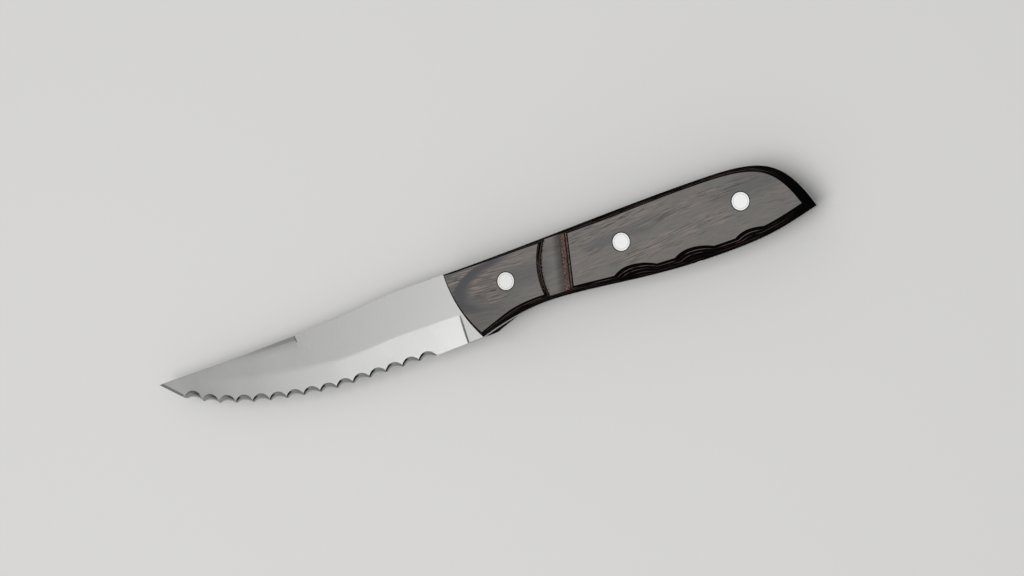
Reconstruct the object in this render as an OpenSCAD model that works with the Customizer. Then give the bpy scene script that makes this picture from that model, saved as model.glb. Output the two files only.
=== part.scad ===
// Serrated steak knife with a full tang between two riveted scales.
// It lies on its right side: the point towards -X, the spine towards +Y, the left side up.
// Outlines are drawn from the middle rivet, on the line of the rivets and the tang's middle plane.

/* [Blade] */
// Length of the blade, from its point to its heel
blade_l = 128; // [115:0.2:150]
// Thickness of the blade and of the tang, which are one plate
blade_t = 2.5; // [2:0.1:3.5]
// Rise of the spine over the line of the rivets, where the handle starts
spine_rise = 10; // [9:0.25:11]
// Rise of the point over the line of the rivets
point_rise = 5.7; // [4:0.1:8]
// Depth of the cutting edge under the line of the rivets
edge_drop = 16.2; // [15.8:0.2:18]
// Depth of the heel under the line of the rivets
heel_drop = 15.4; // [14.6:0.2:15.6]
// Length of full thickness between the heel and the plunge of the main bevel
ricasso_l = 5.6; // [5:0.1:8]
// Height of the main bevel over the edge
bevel_h = 10; // [8:0.5:12]
// Thickness that the main bevel leaves at the edge
edge_t = 0.5; // [0.3:0.05:0.8]
// Length of the false edge on the spine, from the point
swedge_l = 58.4; // [40:0.1:70]
// Width of the false edge at its notch
swedge_w = 1.9; // [1:0.1:3]
// Depth of the false edge at its notch, on each side
swedge_d = 0.5; // [0.2:0.05:0.7]

/* [Serration] */
// Number of scallops
scallops = 15; // [8:1:18]
// Length of plain edge between the heel and the scallops
plain_l = 18.2; // [15:0.2:26]
// Length along the knife of the plain bevelled edge at the point
point_edge_l = 8.2; // [5:0.2:12]
// Height of a scallop on the left side, in the middle of the row
scallop_h = 2.7; // [2:0.05:3.4]
// Width of the round that a scallop is part of, along the edge
scallop_w = 9.7; // [7:0.1:12]
// Height of that round's half, across the edge
round_h = 5.4; // [4:0.1:7]
// Lean of the scallops' ground face to the plane of the blade
scallop_lean = 25.6; // [20:0.2:35]
// How much higher the last scallop is than the first, as a share
growth_share = 0.2; // [0:0.01:0.3]
// How much wider apart the scallops are at the point than at the heel, as a share
spread_share = 0.06; // [0:0.01:0.2]
// Slant of the scallops towards the heel, at the heel's end of their row
heel_slant = -6; // [-20:1:20]
// Slant of the scallops towards the heel, at the point's end of their row
point_slant = 11; // [-20:1:20]
// Width of the ground bevel at the point
point_bevel_w = 0.95; // [0.6:0.05:1.4]

/* [Handle] */
// Length of the handle, from the heel to the tip of the butt
handle_l = 128; // [120:1:140]
// Distance from the middle rivet to the tip of the butt, as a share of the handle's length
butt_share = 0.525; // [0.5:0.005:0.56]
// Thickness of each scale
scale_t = 7; // [5.5:0.1:9]
// Rise of the handle's back over the line of the rivets
back_rise = 12.4; // [11.6:0.1:14]
// Depth of the palm swell under the line of the rivets
palm_drop = 14.3; // [13:0.1:15.5]
// Depth of the waist under the line of the rivets
waist_drop = 10.6; // [9.8:0.1:11.6]
// Depth of the tip of the butt under the line of the rivets
butt_drop = 8.9; // [7:0.1:10.5]
// Distance from the heel to the scales' upper corner, along the knife
front_rake = 7.6; // [5:0.2:10]
// Radius of the scales' front end
front_r = 48; // [35:1:80]
// Lean of the back from the tang to the scale's flat
back_inset = 2.1; // [1:0.1:3]
// Lean of the finger side from the tang to the scale's flat
finger_inset = 2.5; // [1.5:0.1:3.2]
// Lean of the front end from the tang to the scale's flat
front_inset = 2.5; // [1.5:0.1:3.2]
// Width of the eased edge around the scale's flat
ease = 0.35; // [0.2:0.05:0.6]

/* [Thumb channel] */
// Width of the channel along the knife, on the line of the rivets
channel_w = 13; // [9:0.5:15]
// Depth of the channel in the scale
channel_d = 2.3; // [1.2:0.1:3]
// Distance from the middle rivet to the channel's rear edge
channel_x = 19.2; // [15:0.2:22]
// Radius of the channel's front wall in plan
channel_r = 26; // [20:1:60]
// Run of the channel's steep front wall
channel_wall = 1; // [0.5:0.1:1.6]
// Run of the channel's rear slope
channel_slope = 5.6; // [3:0.1:6.5]
// Slant of the channel's rear edge across the handle
channel_slant = 10.5; // [0:0.5:15]
// Depth under the line of the rivets of the foremost point of the channel's front wall
channel_low = 4.4; // [0:0.1:6]

/* [Finger grooves] */
// Number of finger grooves
grooves = 3; // [1:1:3]
// Radius of a finger groove's steep front half
groove_front_r = 12.5; // [9:0.5:18]
// Radius of a finger groove's easy rear half
groove_rear_r = 25; // [12:0.5:32]
// Depth of the deepest finger groove in the scale's flat
groove_d = 2.4; // [1:0.1:2.8]
// Lean of the finger grooves out to the tang
groove_lean = 34; // [30:1:40]

/* [Rivets] */
// Distance between rivets, as a share of the handle's length
pitch_share = 0.346; // [0.32:0.001:0.36]
// Diameter of a rivet's head
head_d = 6.35; // [5:0.05:7]
// Thickness of a rivet's head
head_t = 1.2; // [0.8:0.1:1.6]
// Diameter of a rivet's tube
tube_d = 4.2; // [3.6:0.1:4.8]
// Diameter of a rivet's post
post_d = 2.8; // [2.2:0.1:3]

/* [Hidden] */

// Overrun of every cut
over = 1;
// Clearance between a rivet and its holes, and between its post and its tube, all round
fit_gap = 0.04;
// Depth of a rivet's head under the scale's flat
head_sink = 0.03;
// Chamfer round a rivet's head
head_chamfer = 0.15;
// Wall of a rivet's tube left under its head, and the tube's gap to the other head
tube_floor = 0.8;
tube_gap = 0.4;
// Slope of the plunge, along the knife
plunge_run = 0.5;
// Margins of the row of scallops, at the heel's end and at the point's
heel_margin = 1.6;
point_margin = 0.5;

// Facets round a bore, and steps along an outline's stretch
bore_fn = 64;
stretch_steps = 22;
front_steps = 8;
edge_steps = 40;
// Steps round a scallop's rim
rim_steps = 32;
// Steps along each half of a finger groove
groove_steps = 24;

// Places along the knife, from the middle rivet
rivet_to_butt = butt_share * handle_l;
rivet_pitch = pitch_share * handle_l;
heel_x = rivet_to_butt - handle_l;
point_x = heel_x - blade_l;
front_x = heel_x - front_rake;
row_x = heel_x - plain_l;
row_end_x = point_x + point_edge_l;
plunge_x = heel_x - ricasso_l;
notch_x = point_x + swedge_l;
rivet_xs = [-rivet_pitch, 0, rivet_pitch];

// The fall of the plain edge at the point, as a share of its length along the knife
point_edge_share = 0.87;

// Places across the knife, from the line of the rivets
point_edge_y = point_rise - point_edge_l * point_edge_share;
half_t = blade_t / 2;
side_z = half_t + scale_t;

// The model's origin is the middle of its outline, on the surface that it lies on
origin = [(rivet_to_butt + point_x) / 2, (back_rise - edge_drop) / 2, -side_z];

// The width of the false edge at the point, as a share of its width at the notch
swedge_share = 0.35;
// Places of the hump and of the palm swell as shares of the way to the butt, and of the waist as a
// share of the way to the front rivet
hump_share = 0.45;
palm_share = 0.37;
waist_share = 0.75;
// How far the ends of each stretch of the handle's outline are drawn on, as shares of its run
back_ends_shares = [0.3, 0.3];
butt_ends_shares = [0.59, 0.18];
palm_ends_shares = [0.3, 0.58];
grip_ends_shares = [0.41, 0.29];
guard_ends_shares = [0.38, 0.25];
// The heights that the stretches' slanting ends are drawn to, as shares of their fall
butt_fall_share = 0.94;
palm_fall_share = 0.6;
guard_fall_share = 0.43;
// The rear slope of the channel: shares of its run and of its depth that its ends are drawn to
channel_slope_shares = [[0.35, 0.5], [0.55, 1]];
// The spine: shares of its run from the point, and of its rise to the handle
spine_shares = [[0, 0], [0.24, 0.05], [0.4, 0.16], [0.57, 0.34], [0.66, 0.52],
                [0.74, 0.74], [0.81, 0.91], [0.88, 0.97], [1, 1]];
// The scalloped edge: shares of its run from the plain edge, and of its rise to the point
edge_shares = [[0, 0], [0.16, 0], [0.32, 0.002], [0.42, 0.015], [0.54, 0.1], [0.67, 0.24],
               [0.8, 0.445], [0.9, 0.665], [1, 1]];
// The main bevel: shares of the run from the point to the plunge, and of the bevel's height
bevel_shares = [[0, 0.42], [0.07, 0.72], [0.15, 0.84], [0.26, 0.91], [0.4, 0.96], [0.52, 0.98],
                [0.6, 0.94], [0.68, 0.97], [0.79, 1.06], [0.9, 1.07], [1, 1.03]];
// The scale's side: shares of its height and of its lean
side_shares = [[0, 0], [0.25, 0.2], [0.5, 0.44], [0.75, 0.71], [1, 1]];
// The lean of the finger side from the heel to the butt, and of the back from the front
finger_shares = [[0, 0.02], [0.06, 0.3], [0.12, 0.62], [0.25, 0.66], [0.42, 0.78], [0.6, 1.1],
                 [0.8, 0.95], [1, 0.85]];
back_shares = [[0, 0.5], [0.2, 0.75], [0.45, 1.15], [0.7, 1], [1, 1]];
// The depth of each finger groove, from the front
groove_shares = [1, 0.86, 0.62];

// A point at share t of the cubic curve from p[0] to p[3], drawn towards p[1] and p[2]
function on_cubic(p, t) = pow(1 - t, 3) * p[0] + 3 * pow(1 - t, 2) * t * p[1]
    + 3 * (1 - t) * t * t * p[2] + pow(t, 3) * p[3];

// A cubic curve's points, without its last one
function cubic(p, steps) = [for (i = [0:steps - 1]) on_cubic(p, i / steps)];

// The slope of a table at its row i
function slope(table, i) =
    let (a = table[max(i - 1, 0)], b = table[min(i + 1, len(table) - 1)]) (b[1] - a[1]) / (b[0] - a[0]);

// The value of a table of shares at x, on a smooth curve through its rows
function smooth(table, x, i = 0) =
    i < len(table) - 2 && x > table[i + 1][0] ? smooth(table, x, i + 1) :
    let (a = table[i], b = table[i + 1], w = b[0] - a[0], t = min(max((x - a[0]) / w, 0), 1))
    a[1] * (1 + 2 * t) * pow(1 - t, 2) + slope(table, i) * w * t * pow(1 - t, 2)
    + b[1] * t * t * (3 - 2 * t) - slope(table, i + 1) * w * t * t * (1 - t);

// The points of an arc of radius r from p to q, bulging to the left of that way, without q
function arc(p, q, r, steps) =
    let (half = norm(q - p) / 2, along = (q - p) / (2 * half), left = [-along[1], along[0]],
         centre = (p + q) / 2 - left * sqrt(r * r - half * half), swing = asin(half / r))
    [for (i = [0:steps - 1]) let (a = swing * (2 * i / steps - 1))
        centre + r * (left * cos(a) + along * sin(a))];

// The blade's spine, from the point to the scales, and the same at one place along the knife
function spine_y(x) =
    point_rise + (spine_rise - point_rise) * smooth(spine_shares, (x - point_x) / (front_x - point_x));
// The scalloped edge's line, before it is ground
function row_y(x) =
    -edge_drop + (edge_drop + point_edge_y) * smooth(edge_shares, (row_x - x) / (row_x - row_end_x));
// The whole edge, from the point to the heel
function edge_y(x) =
    x < row_end_x ? point_rise + (point_edge_y - point_rise) * (x - point_x) / point_edge_l :
    x < row_x ? row_y(x) :
    -edge_drop + (edge_drop - heel_drop) * (x - row_x) / plain_l;

// Stretches of the outline, clockwise from the point
blade_spine = [for (i = [0:edge_steps - 1]) let (x = point_x + (front_x - point_x) * i / edge_steps)
    [x, spine_y(x)]];
hump_x = hump_share * rivet_to_butt;
palm_x = palm_share * rivet_to_butt;
waist_x = -waist_share * rivet_pitch;
back_run = hump_x - front_x;
butt_run = rivet_to_butt - hump_x;
butt_fall = back_rise + butt_drop;
handle_back = cubic([[front_x, spine_rise], [front_x + back_run * back_ends_shares[0], spine_rise],
    [hump_x - back_run * back_ends_shares[1], back_rise], [hump_x, back_rise]], stretch_steps);
handle_butt = cubic([[hump_x, back_rise], [hump_x + butt_run * butt_ends_shares[0], back_rise],
    [rivet_to_butt - butt_run * butt_ends_shares[1], butt_fall * butt_fall_share - butt_drop],
    [rivet_to_butt, -butt_drop]], stretch_steps);
palm_run = rivet_to_butt - palm_x;
palm_fall = palm_drop - butt_drop;
handle_palm = cubic([[rivet_to_butt, -butt_drop],
    [rivet_to_butt - palm_run * palm_ends_shares[0], -butt_drop - palm_fall * palm_fall_share],
    [palm_x + palm_run * palm_ends_shares[1], -palm_drop], [palm_x, -palm_drop]], stretch_steps);
grip_run = palm_x - waist_x;
handle_grip = cubic([[palm_x, -palm_drop], [palm_x - grip_run * grip_ends_shares[0], -palm_drop],
    [waist_x + grip_run * grip_ends_shares[1], -waist_drop], [waist_x, -waist_drop]], stretch_steps);
guard_run = waist_x - heel_x;
guard_fall = heel_drop - waist_drop;
handle_guard = cubic([[waist_x, -waist_drop], [waist_x - guard_run * guard_ends_shares[0], -waist_drop],
    [heel_x + guard_run * guard_ends_shares[1], guard_fall * guard_fall_share - heel_drop],
    [heel_x, -heel_drop]], stretch_steps);
row_line = [for (i = [0:edge_steps]) let (x = row_x + (row_end_x - row_x) * i / edge_steps)
    [x, row_y(x)]];

plate_outline = concat(blade_spine, handle_back, handle_butt, handle_palm, handle_grip,
                       handle_guard, [[heel_x, -heel_drop]], row_line);

// The handle's outline as one ring, clockwise from the middle of its front end.
// Its upper and its lower half have as many points, so that the flat can be closed rung by rung.
front_end = arc([heel_x, -heel_drop], [front_x, spine_rise], front_r, 2 * front_steps);
upper_half = concat([for (i = [front_steps:2 * front_steps - 1]) front_end[i]], handle_back,
                    handle_butt);
finger_line = concat(handle_palm, handle_grip, handle_guard);
finger_steps = 2 * stretch_steps;
finger_side = [for (i = [0:finger_steps - 1]) finger_line[round(i * len(finger_line) / finger_steps)]];
lower_half = concat(finger_side, [for (i = [0:front_steps - 1]) front_end[i]]);
handle_ring = concat(upper_half, lower_half);
ring_n = len(handle_ring);
upper_corner = front_steps;
butt_corner = len(upper_half);
heel_corner = butt_corner + finger_steps;

// The unit normal into the ring at the middle of the side from point i to the next one
function inward(i) =
    let (p = handle_ring[(i + ring_n) % ring_n], q = handle_ring[(i + 1 + ring_n) % ring_n],
         d = (q - p) / norm(q - p))
    [d[1], -d[0]];

// How far the side after each point leans in, from the tang to the flat
ring_leans = [for (i = [0:ring_n - 1]) let (x = handle_ring[i][0])
    i < upper_corner || i >= heel_corner ? front_inset :
    i < butt_corner ? back_inset * smooth(back_shares, (x - front_x) / (rivet_to_butt - front_x)) :
    finger_inset * smooth(finger_shares, (x - heel_x) / handle_l)];
ring_units = [for (lean = ring_leans) 1];

// The way along the ring of the side after point i
function way(i) = let (n = inward(i)) [-n[1], n[0]];

// The move of a corner that leans the sides before and after it in by their own leans
function corner_move(i, leans) =
    let (a = inward(i - 1), b = inward(i),
         u = leans[(i - 1 + ring_n) % ring_n], v = leans[(i + ring_n) % ring_n])
    [u * b[1] - v * a[1], v * a[0] - u * b[0]] / cross(a, b);

// The move of ring point i: a corner's own, or in by the lean and along by a share of the slide
// of the corners at the ends of its stretch
function move_in(i, leans) =
    let (first = i < upper_corner ? heel_corner - ring_n : i < butt_corner ? upper_corner :
                 i < heel_corner ? butt_corner : heel_corner,
         last = i < upper_corner ? upper_corner : i < butt_corner ? butt_corner :
                i < heel_corner ? heel_corner : ring_n + upper_corner,
         part = (i - first) / (last - first), n = inward(i - 1) + inward(i),
         from = corner_move(first, leans) * way(first), to = corner_move(last, leans) * way(last - 1))
    part == 0 ? corner_move(first, leans) :
    n / norm(n) * (leans[(i - 1 + ring_n) % ring_n] + leans[i]) / 2
    + way(i) * ((1 - part) * from + part * to);

ring_moves = [for (i = [0:ring_n - 1]) move_in(i, ring_leans)];
ease_moves = [for (i = [0:ring_n - 1]) move_in(i, ring_units)];

// The ring at a share of the scale's thickness, moved in by a further width
function ring_at(share, z, further = 0) = [for (i = [0:ring_n - 1])
    let (p = handle_ring[i] + ring_moves[i] * smooth(side_shares, share) + ease_moves[i] * further)
    [p[0], p[1], z]];

// A solid skinned over rings of points, each ring clockwise as seen from the last one's side
module skin(rings) {
    n = len(rings[0]);
    last = (len(rings) - 1) * n;
    sides = [for (k = [0:len(rings) - 2]) for (i = [0:n - 1])
        let (a = k * n + i, b = k * n + (i + 1) % n) for (f = [[a, b, b + n], [a, b + n, a + n]]) f];
    rungs = [for (i = [0:floor(n / 2) - 1])
        for (f = [[(n - i) % n, i, i + 1], [(n - i) % n, i + 1, n - i - 1]])
            if (f[0] != f[1] && f[1] != f[2]) f];
    ends = [for (f = rungs) for (g = [[f[2], f[1], f[0]], [f[0] + last, f[1] + last, f[2] + last]]) g];
    polyhedron(points = [for (r = rings) for (p = r) p], faces = concat(sides, ends));
}

// The space that the main bevel takes from the left side of the plate
module bevel_cut() {
    low_x = point_x - over;
    xs = concat([for (i = [0:edge_steps - 1]) low_x + (plunge_x - plunge_run - low_x) * i / edge_steps],
                [plunge_x - plunge_run, plunge_x]);
    skin([for (x = xs)
        let (h = bevel_h * smooth(bevel_shares, (x - point_x) / (plunge_x - point_x)),
             low = edge_y(x),
             cut = x < plunge_x ? half_t - edge_t / 2 : 0,
             below = over * cut / h)
        [[x, low + h, half_t], [x, low - over, half_t - cut - below],
         [x, low - over, half_t + over], [x, low + h, half_t + over]]]);
}

// The space that the false edge takes from the left side of the plate
module swedge_cut() {
    low_x = point_x - over;
    steps = edge_steps / 2;
    skin([for (i = [0:steps])
        let (x = low_x + (notch_x - low_x) * i / steps,
             w = swedge_w * (swedge_share + (1 - swedge_share) * i / steps), y = spine_y(max(x, point_x)))
        [[x, y + over, half_t - swedge_d * (1 + over / w)], [x, y - w, half_t],
         [x, y - w, half_t + over], [x, y + over, half_t + over]]]);
}

// How far along the scalloped edge each of its points lies
row_runs = [for (i = 0, run = 0; i <= edge_steps;
                 run = run + (i < edge_steps ? norm(row_line[i + 1] - row_line[i]) : 0), i = i + 1) run];
row_l = row_runs[edge_steps];
row_table = [for (i = [0:edge_steps]) [row_runs[i], row_line[i][0]]];
// One scallop: a round-nosed wheel sunk into the left side, deepest at the edge.
// The scallops grow higher and stand wider apart from the heel to the point.
module scallop_cut(i) {
    part = (i + 0.5) / scallops;
    along = part * (1 - spread_share * (1 - part) / 2);
    height = scallop_h * (1 + growth_share * (part - 0.5));
    x = lookup(heel_margin + (row_l - heel_margin - point_margin) * along, row_table);
    turn = 90 - heel_slant + (heel_slant - point_slant) * part;
    h = bevel_h * smooth(bevel_shares, (x - point_x) / (plunge_x - point_x));
    rim_z = edge_t / 2 + (half_t - edge_t / 2) * height / h;
    nose = round_h * sin(scallop_lean);
    translate([x, row_y(x), 0]) rotate([0, 0, turn])
        translate([height, 0, rim_z]) rotate([0, 90 - scallop_lean, 0])
            translate([-nose, 0, -2 * scallop_h]) linear_extrude(4 * scallop_h)
                polygon([for (i = [0:rim_steps]) let (a = 180 * i / rim_steps - 90)
                    [nose * cos(a), scallop_w / 2 * sin(a)]]);
}

// The ground bevel of the plain edge at the point
module point_bevel_cut() {
    start = [row_end_x, point_edge_y];
    way = [point_x, point_rise] - start;
    cut = edge_t + (half_t - edge_t / 2) * point_bevel_w / bevel_h;
    translate([start[0], start[1], -edge_t / 2]) rotate([0, 0, atan2(way[1], way[0])])
        rotate([90, 0, 90]) linear_extrude(norm(way) + over)
            polygon([[0, 0], [-point_bevel_w, cut], [-point_bevel_w, cut + over], [over, cut + over],
                     [over, -over * cut / point_bevel_w]]);
}

// Something at each rivet's place
module at_rivets() {
    for (x = rivet_xs) translate([x, 0, 0]) children();
}

// The finger side of the scale's flat, from the heel to the butt
flat_line = let (flat = ring_at(1, scale_t)) [for (i = [0:heel_corner - butt_corner - 1])
    let (p = flat[heel_corner - i]) [p[0], p[1]]];

// One finger groove, leaning out from the flat to the tang
module groove_cut(x, depth) {
    rims = [[180, groove_front_r], [90, groove_rear_r]];
    translate([x, lookup(x, flat_line) + depth, scale_t]) rotate([-groove_lean, 0, 0])
        translate([0, 0, -2 * scale_t]) linear_extrude(3 * scale_t)
            polygon(concat([for (r = rims) for (i = [0:groove_steps])
                let (a = r[0] - 90 * i / groove_steps) [r[1] * cos(a), r[1] * (sin(a) - 1)]],
                [[groove_rear_r, -groove_rear_r - over], [-groove_front_r, -groove_rear_r - over]]));
}

// The thumb channel: a steep round front wall, a flat floor and an easy rear slope
module channel_cut() {
    reach = back_rise + palm_drop;
    centre_x = -channel_x - channel_w + channel_r - channel_low * channel_low / (2 * channel_r);
    wall_lean = channel_wall / channel_d;
    slope_ends = [for (row = channel_slope_shares) [-channel_slope * row[0], -channel_d * row[1]]];
    slope_line = concat(cubic(concat([[0, 0]], slope_ends, [[-channel_slope, -channel_d]]), front_steps),
        [[-channel_slope, -channel_d], [-channel_r, -channel_d], [-channel_r, over], [over * 2, over]]);
    intersection() {
        translate([centre_x, -channel_low, scale_t - channel_d])
            cylinder(r1 = channel_r - channel_wall, r2 = channel_r + over * wall_lean,
                     h = channel_d + over, $fn = 2 * bore_fn);
        translate([-channel_x, 0, scale_t]) rotate([0, 0, -channel_slant])
            rotate([90, 0, 0]) translate([0, 0, -reach]) linear_extrude(2 * reach) polygon(slope_line);
    }
}

// The left scale, from the tang up
module scale_body() {
    difference() {
        skin(concat([for (row = side_shares) ring_at(row[0], row[0] * (scale_t - ease))],
                    [ring_at(1, scale_t, ease)]));
        channel_cut();
        for (i = [0:grooves - 1]) groove_cut(i * rivet_pitch / 2, groove_d * groove_shares[i]);
        at_rivets() {
            translate([0, 0, -over])
                cylinder(d = tube_d + 2 * fit_gap, h = scale_t + 2 * over, $fn = bore_fn);
            translate([0, 0, scale_t - head_sink - head_t])
                cylinder(d = head_d + 2 * fit_gap, h = head_t + head_sink + over, $fn = bore_fn);
        }
    }
}

// A rivet's head, its outer face at z = 0 and its shank below
module rivet_head() {
    translate([0, 0, -head_t]) cylinder(d = head_d, h = head_t - head_chamfer, $fn = bore_fn);
    translate([0, 0, -head_chamfer])
        cylinder(d1 = head_d, d2 = head_d - 2 * head_chamfer, h = head_chamfer, $fn = bore_fn);
}

// The rivet's half with the tube, put in from the left side
module rivet_tube() {
    top_z = side_z - head_sink;
    tube_l = 2 * (top_z - head_t) - tube_gap;
    translate([0, 0, top_z]) difference() {
        union() {
            rivet_head();
            translate([0, 0, -head_t - tube_l]) cylinder(d = tube_d, h = tube_l, $fn = bore_fn);
        }
        translate([0, 0, -head_t - tube_l - over])
            cylinder(d = post_d + 2 * fit_gap, h = tube_l - tube_floor + over, $fn = bore_fn);
    }
}

// The rivet's half with the post, pressed into the tube from the right side
module rivet_post() {
    top_z = side_z - head_sink;
    post_l = 2 * (top_z - head_t) - tube_floor - tube_gap;
    mirror([0, 0, 1]) translate([0, 0, top_z]) {
        rivet_head();
        translate([0, 0, -head_t - post_l]) cylinder(d = post_d, h = post_l, $fn = bore_fn);
    }
}

// Moves what is drawn from the middle rivet to its place in the model
module in_place() {
    translate(-origin) children();
}

module blade() {
    color("#c6c7c3") in_place() difference() {
        translate([0, 0, -half_t]) linear_extrude(blade_t) polygon(plate_outline);
        for (side = [0, 1]) mirror([0, 0, side]) {
            bevel_cut();
            swedge_cut();
        }
        for (i = [0:scallops - 1]) scallop_cut(i);
        point_bevel_cut();
        at_rivets() translate([0, 0, -half_t - over])
            cylinder(d = tube_d + 2 * fit_gap, h = blade_t + 2 * over, $fn = bore_fn);
    }
}

module left_scale() {
    color("#4b423e") in_place() translate([0, 0, half_t]) scale_body();
}

module right_scale() {
    color("#4b423e") in_place() mirror([0, 0, 1]) translate([0, 0, half_t]) scale_body();
}

module tube_at(x) {
    color("#e8e8e4") in_place() translate([x, 0, 0]) rivet_tube();
}

module post_at(x) {
    color("#e8e8e4") in_place() translate([x, 0, 0]) rivet_post();
}

module front_rivet_tube() { tube_at(rivet_xs[0]); }
module middle_rivet_tube() { tube_at(rivet_xs[1]); }
module rear_rivet_tube() { tube_at(rivet_xs[2]); }
module front_rivet_post() { post_at(rivet_xs[0]); }
module middle_rivet_post() { post_at(rivet_xs[1]); }
module rear_rivet_post() { post_at(rivet_xs[2]); }

blade();
left_scale();
right_scale();
front_rivet_tube();
middle_rivet_tube();
rear_rivet_tube();
front_rivet_post();
middle_rivet_post();
rear_rivet_post();
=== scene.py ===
# Steak knife: a serrated full-tang blade between two riveted scales of laminated wood.
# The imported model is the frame. Shapes are drawn in millimetres, from the middle rivet and the
# tang's middle plane, as in the part's source, and are put in place and in metres when a mesh is made.
import bpy, bmesh
import math
from mathutils import Vector, Matrix


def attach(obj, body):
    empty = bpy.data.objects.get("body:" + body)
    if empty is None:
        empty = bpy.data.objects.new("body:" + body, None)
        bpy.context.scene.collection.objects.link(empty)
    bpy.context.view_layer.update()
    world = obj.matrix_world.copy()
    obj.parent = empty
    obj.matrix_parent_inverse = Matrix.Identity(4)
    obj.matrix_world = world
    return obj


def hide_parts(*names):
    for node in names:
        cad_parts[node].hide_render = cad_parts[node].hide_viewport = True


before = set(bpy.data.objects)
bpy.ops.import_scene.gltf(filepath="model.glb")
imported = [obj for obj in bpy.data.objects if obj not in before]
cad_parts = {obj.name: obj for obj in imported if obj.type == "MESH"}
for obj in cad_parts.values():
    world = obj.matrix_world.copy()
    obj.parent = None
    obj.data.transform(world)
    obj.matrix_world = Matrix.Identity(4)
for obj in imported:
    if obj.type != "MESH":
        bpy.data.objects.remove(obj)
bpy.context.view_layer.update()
print("frame loaded:", len(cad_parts), "nodes")

# sizes that several pieces share
knife = {
    "handleLength": 128, "rivetToButt": 67.2, "bladeLength": 128, "plateThickness": 2.5,
    "scaleThickness": 7, "rivetPitch": 44.288, "backRise": 12.4, "edgeDrop": 16.2, "heelDrop": 15.4,
    "spineRise": 10, "frontRake": 7.6, "fit": 0.04,
}
rivets = {
    "headDiameter": 6.35, "headThickness": 1.2, "headSink": 0.03, "chamfer": 0.15, "tubeDiameter": 4.2,
    "postDiameter": 2.8, "tubeFloor": 0.8, "tubeGap": 0.4, "segments": 96,
    # small bevels at the ends of the tube and the post, and under the head
    "tubeBevel": 0.1, "postBevel": 0.2, "headBevel": 0.05, "smoothAngle": 40,
}
millimetre, overrun = 0.001, 1
mergeDistance, seamDistance = 0.0000001, 0.0000005
buttX = knife["rivetToButt"]
heelX = buttX - knife["handleLength"]
pointX = heelX - knife["bladeLength"]
frontX = heelX - knife["frontRake"]
halfPlate = knife["plateThickness"] / 2
sideZ = halfPlate + knife["scaleThickness"]
rivetXs = [k * knife["rivetPitch"] for k in (-1, 0, 1)]
boreRadius = rivets["tubeDiameter"] / 2 + knife["fit"]
toModel = Vector((-(buttX + pointX) / 2, -(knife["backRise"] - knife["edgeDrop"]) / 2, sideZ))


def inModel(point):
    return ((Vector(point) + toModel) * millimetre)[:]


def onCubic(p, t):
    u = 1 - t
    return tuple(u ** 3 * a + 3 * u * u * t * b + 3 * u * t * t * c + t ** 3 * d for a, b, c, d in zip(*p))


def cubic(p, steps):
    return [onCubic(p, i / steps) for i in range(steps)]


def share(value, low, high):
    # 0 up to low, 1 from high on, and straight between
    return min(max((value - low) / (high - low), 0), 1)


def eased(value, low, high):
    # the same with soft ends
    t = share(value, low, high)
    return t * t * (3 - 2 * t)


def smooth(table, x):
    # smooth curve through rows of shares
    i = 0
    while i < len(table) - 2 and x > table[i + 1][0]:
        i += 1

    def slope(k):
        a, b = table[max(k - 1, 0)], table[min(k + 1, len(table) - 1)]
        return (b[1] - a[1]) / (b[0] - a[0])
    a, b = table[i], table[i + 1]
    w, t = b[0] - a[0], share(x, a[0], b[0])
    return (a[1] * (1 + 2 * t) * (1 - t) ** 2 + slope(i) * w * t * (1 - t) ** 2
            + b[1] * t * t * (3 - 2 * t) - slope(i + 1) * w * t * t * (1 - t))


def onLine(line, x):
    # y of a polyline at x, its points in order of x
    for a, b in zip(line, line[1:]):
        if x <= b[0]:
            return a[1] + (b[1] - a[1]) * (x - a[0]) / max(b[0] - a[0], 1e-9)
    return line[-1][1]


def meshFrom(name, points, faces, smoothAngle=30):
    # points in the drawing's millimetres become a mesh in the model's metres
    mesh = bpy.data.meshes.new(name)
    mesh.from_pydata([inModel(p) for p in points], [], faces)
    mesh.validate()
    tidyNormals(mesh, smoothAngle)
    return mesh


def tidyNormals(mesh, smoothAngle):
    b = bmesh.new()
    b.from_mesh(mesh)
    bmesh.ops.remove_doubles(b, verts=b.verts, dist=mergeDistance)
    bmesh.ops.recalc_face_normals(b, faces=b.faces)
    b.to_mesh(mesh)
    b.free()
    mesh.polygons.foreach_set("use_smooth", [True] * len(mesh.polygons))
    mesh.set_sharp_from_angle(angle=math.radians(smoothAngle))


def crispSeams(mesh):
    # edges between two finishes stay sharp
    b = bmesh.new()
    b.from_mesh(mesh)
    for edge in b.edges:
        if len({face.material_index for face in edge.link_faces}) > 1:
            edge.smooth = False
    b.to_mesh(mesh)
    b.free()


def makeObject(name, mesh, *materials):
    piece = bpy.data.objects.new(name, mesh)
    for m in materials:
        mesh.materials.append(m)
    bpy.context.scene.collection.objects.link(piece)
    return piece


def loft(rings):
    # closed skin over rings of as many points, with a face at each end
    n = len(rings[0])
    points = [p for r in rings for p in r]
    faces = [(k * n + i, k * n + (i + 1) % n, (k + 1) * n + (i + 1) % n, (k + 1) * n + i)
             for k in range(len(rings) - 1) for i in range(n)]
    last = (len(rings) - 1) * n
    return points, faces + [tuple(range(n))[::-1], tuple(last + i for i in range(n))]


def rod(radius, low, high, x=0, y=0, steps=96, topRadius=None):
    top = radius if topRadius is None else topRadius
    turns = [2 * math.pi * i / steps for i in range(steps)]
    return loft([[(x + r * math.cos(a), y + r * math.sin(a), z) for a in turns]
                 for r, z in ((radius, low), (top, high))])


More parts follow.
